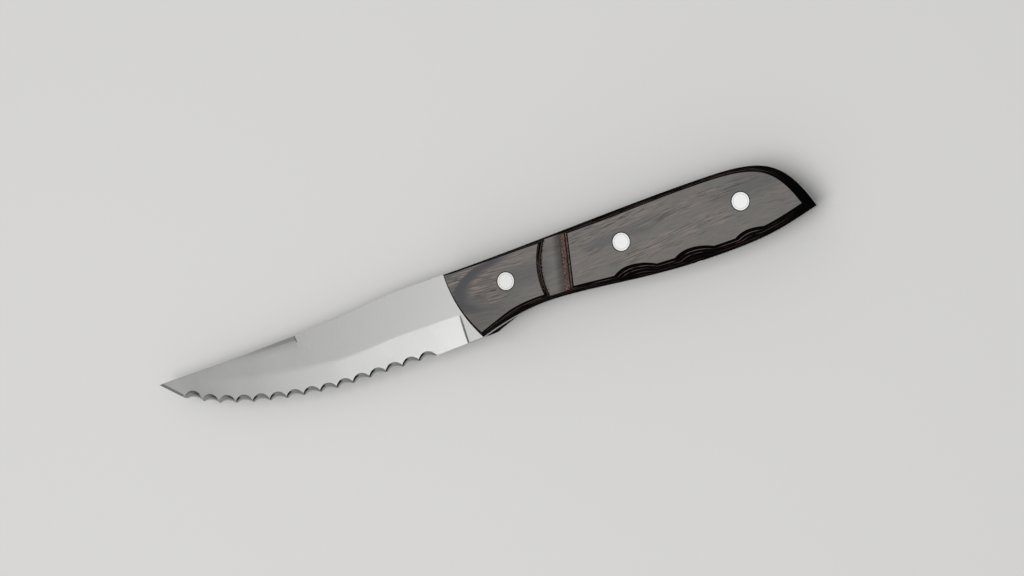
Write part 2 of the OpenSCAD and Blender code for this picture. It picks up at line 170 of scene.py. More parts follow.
def settle(piece):
    # what the modifiers make becomes the piece's own mesh
    bpy.context.view_layer.update()
    result = bpy.data.meshes.new_from_object(piece.evaluated_get(bpy.context.evaluated_depsgraph_get()))
    piece.modifiers.clear()
    old, piece.data = piece.data, result
    bpy.data.meshes.remove(old)
    result.name = piece.name


def cutAway(piece, cutters, operation="DIFFERENCE"):
    # cuts one mesh after another out of a piece
    for mesh in cutters:
        if piece.data.materials and not mesh.materials:
            mesh.materials.append(piece.data.materials[0])
        tool = makeObject("cutter", mesh)
        cut = piece.modifiers.new("cut", "BOOLEAN")
        cut.operation, cut.solver, cut.object, cut.material_mode = operation, "MANIFOLD", tool, "TRANSFER"
        settle(piece)
        bpy.data.objects.remove(tool)


# camera and light
studio = {
    "cameraPlace": (0.3332, -0.0891, 0.8939), "lens": 94.92, "sensorWidth": 36, "clip": (0.01, 20),
    "right": (0.89172, -0.28792, -0.34918), "up": (0.30258, 0.95302, -0.01309),
    "back": (0.33655, -0.09398, 0.93696), "worldTone": 0.47,
    "floorTone": (0.86, 0.855, 0.845), "floorReach": 4, "floorRoughness": 0.7, "floorGloss": 0.2,
    # place, aimed at, width, depth and radiance of each softbox
    "softboxes": {"overhead": ((-0.17, 0.05, 1.2), (-0.17, 0.05, 0), 0.7, 0.9, 1.65),
                  "front": ((-0.3, -0.40, 1.15), (-0.05, -0.1, 0), 0.7, 0.4, 2.3)},
}
camera = bpy.data.objects.new("camera", bpy.data.cameras.new("camera"))
bpy.context.scene.collection.objects.link(camera)
camera.data.sensor_width, camera.data.lens = studio["sensorWidth"], studio["lens"]
camera.data.clip_start, camera.data.clip_end = studio["clip"]
turn = Matrix((studio["right"], studio["up"], studio["back"])).transposed().to_4x4()
camera.matrix_world = Matrix.Translation(studio["cameraPlace"]) @ turn
bpy.context.scene.camera = camera

world = bpy.data.worlds.new("studio")
bpy.context.scene.world = world
world.use_nodes = True
world.node_tree.nodes["Background"].inputs["Color"].default_value = (*[studio["worldTone"]] * 3, 1)

for name, (place, aim, width, depth, radiance) in studio["softboxes"].items():
    lamp = bpy.data.objects.new(name + "Softbox", bpy.data.lights.new(name + "Softbox", "AREA"))
    bpy.context.scene.collection.objects.link(lamp)
    lamp.data.shape, lamp.data.size, lamp.data.size_y = "RECTANGLE", width, depth
    lamp.data.energy = radiance * math.pi * width * depth
    way = Vector(aim) - Vector(place)
    lamp.matrix_world = Matrix.Translation(place) @ way.to_track_quat("-Z", "Y").to_matrix().to_4x4()

bpy.context.scene.view_settings.view_transform = "Standard"
print("camera and softboxes set")


# wiring of node trees: a socket takes a wire, a colour or a number
def plug(value, socket):
    if isinstance(value, bpy.types.NodeSocket):
        socket.id_data.links.new(value, socket)
    elif value is not None:
        socket.default_value = (*value, 1) if socket.type == "RGBA" else value


def node(tree, kind, inputs=None, **settings):
    made = tree.nodes.new(kind)
    for key, value in settings.items():
        setattr(made, key, value)
    for key, value in (inputs or {}).items():
        plug(value, made.inputs[key])
    return made


def treeOf(*values):
    # the tree that wired values are in
    return next(value for value in values if isinstance(value, bpy.types.NodeSocket)).id_data


def maths(operation, first, *others, clamp=False):
    # one node, or a chain of them over several values
    tree = treeOf(first, *others)
    for other in others or (None,):
        step = node(tree, "ShaderNodeMath", {0: first, 1: other}, operation=operation, use_clamp=clamp)
        first = step.outputs[0]
    return first


def add(*values):
    return maths("ADD", *values)


def minus(a, b):
    return maths("SUBTRACT", a, b)


def times(*values):
    return maths("MULTIPLY", *values)


def largest(*values):
    return maths("MAXIMUM", *values)


def reachOf(u, v):
    # length of the way u along and v across
    return maths("SQRT", add(times(u, u), times(v, v)))


def between(value, low, high, outLow=0.0, outHigh=1.0):
    # eased from one level to another
    levels = {"Value": value, "From Min": low, "From Max": high, "To Min": outLow, "To Max": outHigh}
    return node(value.id_data, "ShaderNodeMapRange", levels, interpolation_type="SMOOTHSTEP").outputs[0]


def blendColours(part, a, b, way="MIX"):
    inputs = {"Factor": part, 6: a, 7: b}
    return node(treeOf(part, a, b), "ShaderNodeMix", inputs, data_type="RGBA", blend_type=way).outputs[2]


def noise(coordinates, waves, detail=4, roughness=0.6, distortion=0.0, place=(0, 0, 0)):
    # noise with its own number of waves per unit along each axis
    tree = coordinates.id_data
    mapping = node(tree, "ShaderNodeMapping", {"Vector": coordinates, "Scale": waves, "Location": place})
    return node(tree, "ShaderNodeTexNoise", {"Vector": mapping.outputs[0], "Scale": 1, "Detail": detail,
                                             "Roughness": roughness, "Distortion": distortion}).outputs["Fac"]


# most of a noise lies in the first span, and nearly all of it in the second
noiseSpan, wideSpan = (0.3, 0.7), (0.25, 0.75)


def newMaterial(name):
    material = bpy.data.materials.new(name)
    material.use_nodes = True
    tree = material.node_tree
    return material, tree, tree.nodes["Principled BSDF"]


def ownPlace(tree):
    return node(tree, "ShaderNodeTexCoord").outputs["Object"]


def inKnife(coordinates):
    # millimetres from the middle rivet and the tang's middle plane
    parts = node(coordinates.id_data, "ShaderNodeSeparateXYZ", {0: coordinates})
    return [minus(times(value, 1 / millimetre), middle) for value, middle in zip(parts.outputs, toModel)]


def facing(tree):
    # the three parts of a face's own direction
    normal = node(tree, "ShaderNodeNewGeometry").outputs["Normal"]
    return node(tree, "ShaderNodeSeparateXYZ", {0: normal}).outputs


def bumpFrom(shader, height, distance, strength):
    inputs = {"Height": height, "Distance": distance, "Strength": strength}
    plug(node(height.id_data, "ShaderNodeBump", inputs).outputs[0], shader.inputs["Normal"])


def fromRivet(x, y):
    # millimetres from the middle of the nearest rivet
    turns = maths("ROUND", maths("DIVIDE", x, knife["rivetPitch"]))
    return reachOf(minus(x, times(turns, knife["rivetPitch"])), y)


floorPaint, _, floorShader = newMaterial("paleFloor")
floorShader.inputs["Base Color"].default_value = (*studio["floorTone"], 1)
floorShader.inputs["Roughness"].default_value = studio["floorRoughness"]
floorShader.inputs["Specular IOR Level"].default_value = studio["floorGloss"]
floorMesh, reach = bpy.data.meshes.new("floor"), studio["floorReach"]
floorMesh.from_pydata([(-reach, -reach, 0), (reach, -reach, 0), (reach, reach, 0), (-reach, reach, 0)],
                      [], [(0, 1, 2, 3)])
floor = makeObject("floor", floorMesh, floorPaint)
print("floor laid")

steelLook = {
    # colour, roughness and grind lines of each finish
    "satin": ((0.385, 0.387, 0.376), 0.34, (9000, 500, 900)),
    "ground": ((0.33, 0.333, 0.325), 0.4, (6000, 700, 2500)),
    "whetted": ((0.3, 0.312, 0.302), 0.34, (6000, 6000, 900)),
    # what the grind lines and the broad patches change in tone and in roughness
    "broadPatches": (60, 25, 25), "lineTone": (0.965, 1.03), "broadTone": 0.012,
    "lineRoughness": (-0.04, 0.05), "broadRoughness": 0.02, "lineDepth": 0.00001, "lineBump": 0.35,
    # painted shade: a dark stroke for the step at the end of the false edge: its top from the middle rivet,
    # lean, half width, length and darkness
    "strokeTop": (-130.5, 6.2), "strokeLean": 0.16, "strokeWidth": (0.36, 0.14), "strokeLength": (2.4, 1.8),
    "strokeDark": 0.66,
    # painted shade: a scallop's dark side under its rim, which changes sides at turnX, and how dark it is
    # there
    "turnX": -160.1, "turnSpan": (-1, 0.5), "turned": -0.5, "turnedShare": 0.7, "darkness": 0.94,
    "sideSpan": (-0.02, 0.14), "rimSpan": (0.06, 0.2), "rimCurve": 0.66,
    # its painted dark line along the rim, and the painted highlights on its foot and on the teeth
    "lineSpan": (0.38, 0.5), "lineDark": 0.5, "footSpan": (-0.1, -0.22), "footHighlight": 1.6,
    "toothSpan": (0.38, 0.44), "toothHighlight": 1.35,
}


def scallopPaintedShade(coordinates):
    # painted shade and highlights: each scallop is dark under its rim on one side, and has a light edge and
    # light teeth painted on
    look = steelLook
    x, y, z = inKnife(coordinates)
    across = facing(coordinates.id_data)[0]
    turned = between(x, *(look["turnX"] + way for way in look["turnSpan"]), look["turned"], 1)
    rim = add(z, times(across, across, look["rimCurve"]))
    dark = times(between(times(across, turned), *look["sideSpan"]), between(rim, *look["rimSpan"]),
                 between(turned, look["turned"], 1, look["turnedShare"], 1))
    line = times(between(rim, *look["lineSpan"]), look["lineDark"])
    shade = minus(1, times(largest(dark, line), look["darkness"]))
    shade = times(shade, between(z, *look["footSpan"], 1, look["footHighlight"]))
    tooth = between(maths("ABSOLUTE", across), *look["toothSpan"])
    return largest(shade, times(tooth, look["toothHighlight"]))


def notchPaintedShade(coordinates):
    # painted shade: the short dark stroke of the step where the false edge ends
    look = steelLook
    x, y, z = inKnife(coordinates)
    under = minus(look["strokeTop"][1], y)
    across = minus(minus(x, look["strokeTop"][0]), times(under, look["strokeLean"]))
    stroke = times(between(maths("ABSOLUTE", across), *look["strokeWidth"]),
                   between(under, *look["strokeLength"]))
    return minus(1, times(stroke, look["strokeDark"]))


def satinSteel(name, colour, roughness, lineWaves, shading):
    # fine grind lines run across the blade, with faint broad unevenness
    look = steelLook
    material, tree, shader = newMaterial(name)
    shader.inputs["Metallic"].default_value = 1
    place = ownPlace(tree)
    lines = noise(place, lineWaves, detail=3, roughness=0.55)
    broad = noise(place, look["broadPatches"], detail=2)
    tint = add(between(lines, *noiseSpan, *look["lineTone"]),
               between(broad, *noiseSpan, -look["broadTone"], look["broadTone"]))
    # the shading function paints shade and highlights into the colour
    tint = times(tint, shading(place))
    plug(blendColours(1.0, colour, tint, "MULTIPLY"), shader.inputs["Base Color"])
    low, high = (roughness + change for change in look["lineRoughness"])
    rough = add(between(lines, *wideSpan, low, high),
                between(broad, *noiseSpan, -look["broadRoughness"], look["broadRoughness"]))
    plug(rough, shader.inputs["Roughness"])
    bumpFrom(shader, lines, look["lineDepth"], look["lineBump"])
    return material


bladeSteel = satinSteel("bladeSteel", *steelLook["satin"], notchPaintedShade)
groundSteel = satinSteel("scallopSteel", *steelLook["ground"], scallopPaintedShade)
whettedSteel = satinSteel("whettedSteel", *steelLook["whetted"], notchPaintedShade)
print("steel finishes ready")

# outline of the plate
blade = {
    "pointRise": 5.7, "plainEdge": 18.2, "pointEdge": 8.2, "pointEdgeFall": 0.87, "ricasso": 5.6,
    "bevelHeight": 10, "edgeThickness": 0.5, "plungeRun": 1.0, "stations": 300,
    # the false edge: its sizes, the shares of its width and depth at the point, and where it gets deeper
    "swedgeLength": 58.4, "swedgeWidth": 1.9, "swedgeDepth": 0.5, "swedgeTip": 0.25, "tipDepth": 0.16,
    "deeperSpan": (0.45, 0.95),
    # slope of the left side at the point, and over what length it gets there
    "pointSteep": 0.11, "pointBlend": 12,
    # the whetted facet at the point: width, slopes below and above, and the land that it leaves
    "pointBevel": 0.95, "pointBevelSlopes": (0.62, 1.6), "pointLand": 0.05,
    # half width of the bevel's line at the heel and at the point, and the way between, from the plunge
    "lineSoft": (0.25, 1.85), "lineSpan": (25, 95),
    # how far under the spine and over the edge the rows of points lie where neither is ground
    "plainRows": (1.0, 4.0),
    # angles over which an edge shows, before and after the grinding
    "smoothAngle": 25, "groundAngle": 15,
    # shares of the way along, each with a share of the rise or of the bevel's height
    "spine": [(0, 0), (0.24, 0.05), (0.4, 0.16), (0.57, 0.34), (0.66, 0.52), (0.74, 0.74), (0.81, 0.91),
              (0.88, 0.97), (1, 1)],
    "edge": [(0, 0), (0.16, 0), (0.32, 0.002), (0.42, 0.015), (0.54, 0.1), (0.67, 0.24), (0.8, 0.445),
             (0.9, 0.665), (1, 1)],
    "bevel": [(0, 0.42), (0.07, 0.72), (0.15, 0.84), (0.26, 0.91), (0.4, 0.96), (0.52, 0.98), (0.6, 0.94),
              (0.68, 0.97), (0.79, 1.06), (0.9, 1.07), (1, 1.03)],
}
rowX, rowEndX = heelX - blade["plainEdge"], pointX + blade["pointEdge"]
plungeX, notchX = heelX - blade["ricasso"], pointX + blade["swedgeLength"]
pointEdgeY = blade["pointRise"] - blade["pointEdge"] * blade["pointEdgeFall"]

handle = {
    "palmDrop": 14.3, "waistDrop": 10.6, "buttDrop": 8.9, "hump": 0.45, "palm": 0.37, "waist": 0.75,
    "frontRadius": 48, "steps": 110,
    # along and down to the first control point of each stretch, and back and up to the second
    "bends": {"back": (0.3, 0, 0.3, 0), "butt": (0.59, 0, 0.18, 0.94), "palm": (0.3, 0.6, 0.58, 0),
              "grip": (0.41, 0, 0.29, 0), "guard": (0.38, 0, 0.25, 0.43)},
}
handleCorners = [
    (frontX, knife["spineRise"]), (handle["hump"] * buttX, knife["backRise"]),
    (buttX, -handle["buttDrop"]), (handle["palm"] * buttX, -handle["palmDrop"]),
    (-handle["waist"] * knife["rivetPitch"], -handle["waistDrop"]), (heelX, -knife["heelDrop"]),
]


def spineY(x):
    rise = knife["spineRise"] - blade["pointRise"]
    return blade["pointRise"] + rise * smooth(blade["spine"], (x - pointX) / (frontX - pointX))


def rowY(x):
    rise = knife["edgeDrop"] + pointEdgeY
    return -knife["edgeDrop"] + rise * smooth(blade["edge"], (rowX - x) / (rowX - rowEndX))


def edgeY(x):
    if x < rowEndX:
        return blade["pointRise"] + (pointEdgeY - blade["pointRise"]) * (x - pointX) / blade["pointEdge"]
    if x < rowX:
        return rowY(x)
    return -knife["edgeDrop"] + (knife["edgeDrop"] - knife["heelDrop"]) * (x - rowX) / blade["plainEdge"]


def handleStretches(steps):
    made = []
    for start, end, (a, b, c, d) in zip(handleCorners, handleCorners[1:], handle["bends"].values()):
        (x, y), w, h = start, end[0] - start[0], end[1] - start[1]
        made.append(cubic((start, (x + w * a, y + h * b), (end[0] - w * c, end[1] - h * d), end), steps))
    return made


def bevelHeight(x):
    return blade["bevelHeight"] * smooth(blade["bevel"], (x - pointX) / (plungeX - pointX))


# beyond the row the left side runs straight on, and its own bevel makes the edge there
rowEndBevelY = pointEdgeY + bevelHeight(rowEndX)
rowEndRise = rowEndBevelY - rowY(rowEndX + 1) - bevelHeight(rowEndX + 1)


def bladeRing(x, topY, lowY):
    # one cross-section: down the left side from the spine, and back up the right side
    (w, h), slant = blade["plainRows"], 0
    if x < plungeX:
        h = bevelHeight(x)
    if x <= notchX:
        # the false edge is widest and deepest at the notch
        part = (x - pointX) / (notchX - pointX)
        w = blade["swedgeWidth"] * (blade["swedgeTip"] + (1 - blade["swedgeTip"]) * part * part)
        deeper = blade["tipDepth"] + (1 - blade["tipDepth"]) * eased(part, *blade["deeperSpan"])
        slant = blade["swedgeDepth"] * deeper / blade["swedgeWidth"]
    w = min(w, (topY - lowY) * 0.3)
    fall = slant * w
    # the plunge: the bevel runs out on a short curve
    steep = (halfPlate - blade["edgeThickness"] / 2) / h * eased(plungeX - x, 0, blade["plungeRun"])
    # the left side stays thicker at the point
    near = eased(rowEndX + blade["pointBlend"] - x, 0, blade["pointBlend"])
    leftSteep = steep + (min(steep, blade["pointSteep"]) - steep) * near
    # the line of the bevel is crisp near the heel and soft towards the point
    crisp, blurred = blade["lineSoft"]
    soft = min(crisp + (blurred - crisp) * share(plungeX - x, *blade["lineSpan"]), h * 0.45)
    bevelY, span = lowY + h, topY - w - lowY
    leftBevelY = bevelY if x > rowEndX else rowEndBevelY + rowEndRise * (rowEndX - x)
    high = min(bevelY + soft, lowY + span * 0.98)
    deep = max(min(bevelY - soft, high - span * 0.02), lowY + span * 0.1)
    ys = [topY - w * k / 4 for k in range(5)] + [topY - w + (high - topY + w) * k / 3 for k in (1, 2)]
    ys += [high + (deep - high) * k / 12 for k in range(13)]
    ys += [deep + (lowY - deep) * k / 6 for k in range(1, 7)]

    def height(y, line, slope):
        under = line - y
        ground = 0 if under <= -soft else (under + soft) ** 2 / (4 * soft) if under < soft else under
        return halfPlate - slope * ground - fall * max(0, 1 - (topY - y) / w)
    return ([(x, y, height(y, leftBevelY, leftSteep)) for y in ys]
            + [(x, y, -height(y, bevelY, steep)) for y in reversed(ys)])


def bladeStations():
    # the sides of the outline as lines over x, and stations that follow their points
    n, first, closest = blade["stations"], 0.06, 0.015
    xs = [pointX + first] + [pointX + (heelX - pointX) * i / n for i in range(1, n)]
    xs += [notchX, notchX + first, rowEndX, rowX, frontX]
    xs += [plungeX - blade["plungeRun"] * k / 8 for k in range(9)]
    back, butt, palm, grip, guard = handleStretches(60)
    spineXs = [pointX + (frontX - pointX) * i / 400 for i in range(400)]
    upper = [(x, spineY(x)) for x in spineXs] + back + butt + [handleCorners[2]]
    lower = sorted(palm + grip + guard + [handleCorners[-1]])
    xs += [p[0] for p in butt[::2]] + [heelX + (buttX - heelX) * i / 90 for i in range(91)]
    xs = sorted(set(round(x, 4) for x in xs))
    xs = [x for i, x in enumerate(xs) if i == 0 or x - xs[i - 1] > closest]
    rings = []
    for x in xs:
        lowY = edgeY(x) if x < heelX else onLine(lower, x)
        rings.append(bladeRing(x, max(onLine(upper, x), lowY + 0.02), lowY))
    return rings


def pointBevelCutter():
    # a wedge along the edge at the point, which leaves a thin land as whetting does
    start, end = Vector((rowEndX, pointEdgeY, 0)), Vector((pointX, blade["pointRise"], 0))
    way = (end - start).normalized()
    out = Vector((-way.y, way.x, 0))
    land, wide, (low, high) = blade["pointLand"], blade["pointBevel"], blade["pointBevelSlopes"]
    middle = land + wide * low
    side, top = -wide - overrun, middle + high * overrun
    profile = [(0, land), (-wide, middle), (side, top), (side, top + overrun), (overrun, top + overrun),
               (overrun, land - low * overrun)]
    rings = [[tuple(s + out * u + Vector((0, 0, v - blade["edgeThickness"] / 2))) for u, v in profile]
             for s in (start, end + way)]
    mesh = meshFrom("pointBevel", *loft(rings))
    mesh.materials.append(whettedSteel)
    return mesh


bladeSkin = loft(bladeStations())
bladePiece = makeObject("serratedBlade", meshFrom("serratedBlade", *bladeSkin, blade["smoothAngle"]),
                        bladeSteel)
print("blade skinned:", len(bladePiece.data.polygons), "faces")
holeEnds = -halfPlate - overrun, halfPlate + overrun
holes = [meshFrom("hole", *rod(boreRadius, *holeEnds, x, steps=64)) for x in rivetXs]
cutAway(bladePiece, [pointBevelCutter()] + holes)

# round-nosed wheels stand along the edge, and a node tree sinks them all into the left side
scallopRow = {
    "count": 15, "width": 9.7, "roundHeight": 5.4, "height": 2.7, "lean": 25.6,
    "heelSlant": -6, "pointSlant": 11, "heelMargin": 1.6, "pointMargin": 0.5, "growth": 0.2, "spread": 0.06,
    "wheelLength": 11.8, "wheelSides": 240,
}


def wheelPlaces():
    # where each wheel stands, and its half widths
    row, steps = scallopRow, 400
    line = [(x, rowY(x)) for x in (rowX + (rowEndX - rowX) * i / steps for i in range(steps + 1))]
    runs = [0]
    for a, b in zip(line, line[1:]):
        runs.append(runs[-1] + math.dist(a, b))
    table = list(zip(runs, (p[0] for p in line)))
    nose = row["roundHeight"] * math.sin(math.radians(row["lean"]))
    places = []
    for i in range(row["count"]):
        part = (i + 0.5) / row["count"]
        height = row["height"] * (1 + row["growth"] * (part - 0.5))
        along = part * (1 - row["spread"] * (1 - part) / 2)
        x = onLine(table, row["heelMargin"] + (runs[-1] - row["heelMargin"] - row["pointMargin"]) * along)
        slant = row["heelSlant"] + (row["pointSlant"] - row["heelSlant"]) * part
        rimZ = blade["edgeThickness"] / 2 + (halfPlate - blade["edgeThickness"] / 2) * height / bevelHeight(x)
        stand = (Matrix.Translation((x, rowY(x), 0)) @ Matrix.Rotation(math.radians(90 - slant), 4, "Z")
                 @ Matrix.Translation((height, 0, rimZ))
                 @ Matrix.Rotation(math.radians(90 - row["lean"]), 4, "Y")
                 @ Matrix.Translation((-nose, 0, 0)))
        places.append((stand, (nose, row["width"] / 2, 1)))
    return places


def startTree(name, inputs):
    # a tree with named inputs, and what enters and leaves it
    tree = bpy.data.node_groups.new(name, "GeometryNodeTree")
    for label, kind in {"Geometry": "Geometry", **inputs}.items():
        tree.interface.new_socket(label, in_out="INPUT", socket_type="NodeSocket" + kind)
    tree.interface.new_socket("Geometry", in_out="OUTPUT", socket_type="NodeSocketGeometry")
    return tree, node(tree, "NodeGroupInput").outputs, node(tree, "NodeGroupOutput").inputs


def finishTree(geometry, material, leave, faces=True):
    # plain geometry leaves every tree, with the finish of its own faces set last
    tree = geometry.id_data
    real = node(tree, "GeometryNodeRealizeInstances", {"Geometry": geometry})
    finish = node(tree, "GeometryNodeSetMaterial", {"Geometry": real.outputs["Geometry"], "Selection": faces,
                                                    "Material": material})
    plug(finish.outputs["Geometry"], leave["Geometry"])


def runTree(piece, tree, values):
    # a modifier's inputs go by the sockets' identifiers
    modifier = piece.modifiers.new(tree.name, "NODES")
    modifier.node_group = tree
    for item in tree.interface.items_tree:
        if item.item_type == "SOCKET" and item.in_out == "INPUT" and item.name in values:
            modifier[item.identifier] = values[item.name]
    settle(piece)


def wheelTree():
    tree, enter, leave = startTree("grindScallops", {"Wheel Places": "Object", "Wheel Length": "Float",
                                                     "Wheel Sides": "Int", "Ground Finish": "Material"})
    info = node(tree, "GeometryNodeObjectInfo", {"Object": enter["Wheel Places"]}, transform_space="ORIGINAL")
    # a wheel of one millimetre's radius, that each place widens
    wheel = node(tree, "GeometryNodeMeshCylinder", {"Radius": millimetre, "Vertices": enter["Wheel Sides"],
                                                    "Depth": enter["Wheel Length"]}, fill_type="NGON")
    wheel = node(tree, "GeometryNodeSetMaterial", {"Geometry": wheel.outputs["Mesh"],
                                                   "Material": enter["Ground Finish"]})
    turned, widened = (node(tree, "GeometryNodeInputNamedAttribute", {"Name": name}, data_type="FLOAT_VECTOR")
                       for name in ("wheelTurn", "wheelScale"))
    rotation = node(tree, "FunctionNodeEulerToRotation", {0: turned.outputs["Attribute"]})
    stand = node(tree, "GeometryNodeInstanceOnPoints", {
        "Points": info.outputs["Geometry"], "Instance": wheel.outputs["Geometry"],
        "Rotation": rotation.outputs[0], "Scale": widened.outputs["Attribute"]})
    cut = node(tree, "GeometryNodeMeshBoolean", operation="DIFFERENCE", solver="MANIFOLD")
    plug(enter["Geometry"], cut.inputs["Mesh 1"])
    plug(stand.outputs["Instances"], cut.inputs["Mesh 2"])
    # the faces that a wheel has ground have its finish, and the rest keeps its own
    ground = node(tree, "GeometryNodeMaterialSelection", {"Material": enter["Ground Finish"]})
    finishTree(cut.outputs["Mesh"], enter["Ground Finish"], leave, ground.outputs["Selection"])
    return tree


def grindScallops(piece):
    places = wheelPlaces()
    points = bpy.data.meshes.new("wheelPlaces")
    points.from_pydata([inModel(stand.translation) for stand, widths in places], [], [])
    turns = points.attributes.new("wheelTurn", "FLOAT_VECTOR", "POINT")
    scales = points.attributes.new("wheelScale", "FLOAT_VECTOR", "POINT")
    for i, (stand, widths) in enumerate(places):
        turns.data[i].vector, scales.data[i].vector = stand.to_euler(), widths
    holder = makeObject("wheelPlaces", points)
    runTree(piece, wheelTree(), {
        "Wheel Places": holder, "Wheel Length": scallopRow["wheelLength"] * millimetre,
        "Wheel Sides": scallopRow["wheelSides"], "Ground Finish": groundSteel})
    bpy.data.objects.remove(holder)


grindScallops(bladePiece)
tidyNormals(bladePiece.data, blade["groundAngle"])
crispSeams(bladePiece.data)
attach(bladePiece, "root")
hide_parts("blade")
print("scallops ground:", len(bladePiece.data.polygons), "faces")

# the scales
scale = {
    "backInset": 2.1, "fingerInset": 2.5, "frontInset": 2.5, "ease": 0.35, "wallRings": 14, "easeRings": 6,
    "frontSteps": 40, "smoothAngle": 28,
    # shares of the insets up the side wall, and along the finger side and the back
    "side": [(0, 0), (0.25, 0.2), (0.5, 0.44), (0.75, 0.71), (1, 1)],
    "finger": [(0, 0.02), (0.06, 0.3), (0.12, 0.62), (0.25, 0.66), (0.42, 0.78), (0.6, 1.1), (0.8, 0.95),
               (1, 0.85)],
    "back": [(0, 0.5), (0.2, 0.75), (0.45, 1.15), (0.7, 1), (1, 1)],
    "channelWidth": 13, "channelDepth": 2.3, "channelX": 19.2, "channelRadius": 26, "channelWall": 1,
    "channelSlope": 5.6, "channelSlant": 10.5, "channelLow": 4.4, "slopeEnds": [(0.35, 0.5), (0.55, 1)],
    "channelReach": 30,
    "grooveFront": 12.5, "grooveRear": 25, "grooveDepth": 2.4, "grooveLean": 34, "grooves": (1, 0.86, 0.62),
}
channelCentre = (-scale["channelX"] - scale["channelWidth"] + scale["channelRadius"]
                 - scale["channelLow"] ** 2 / (2 * scale["channelRadius"]), -scale["channelLow"])

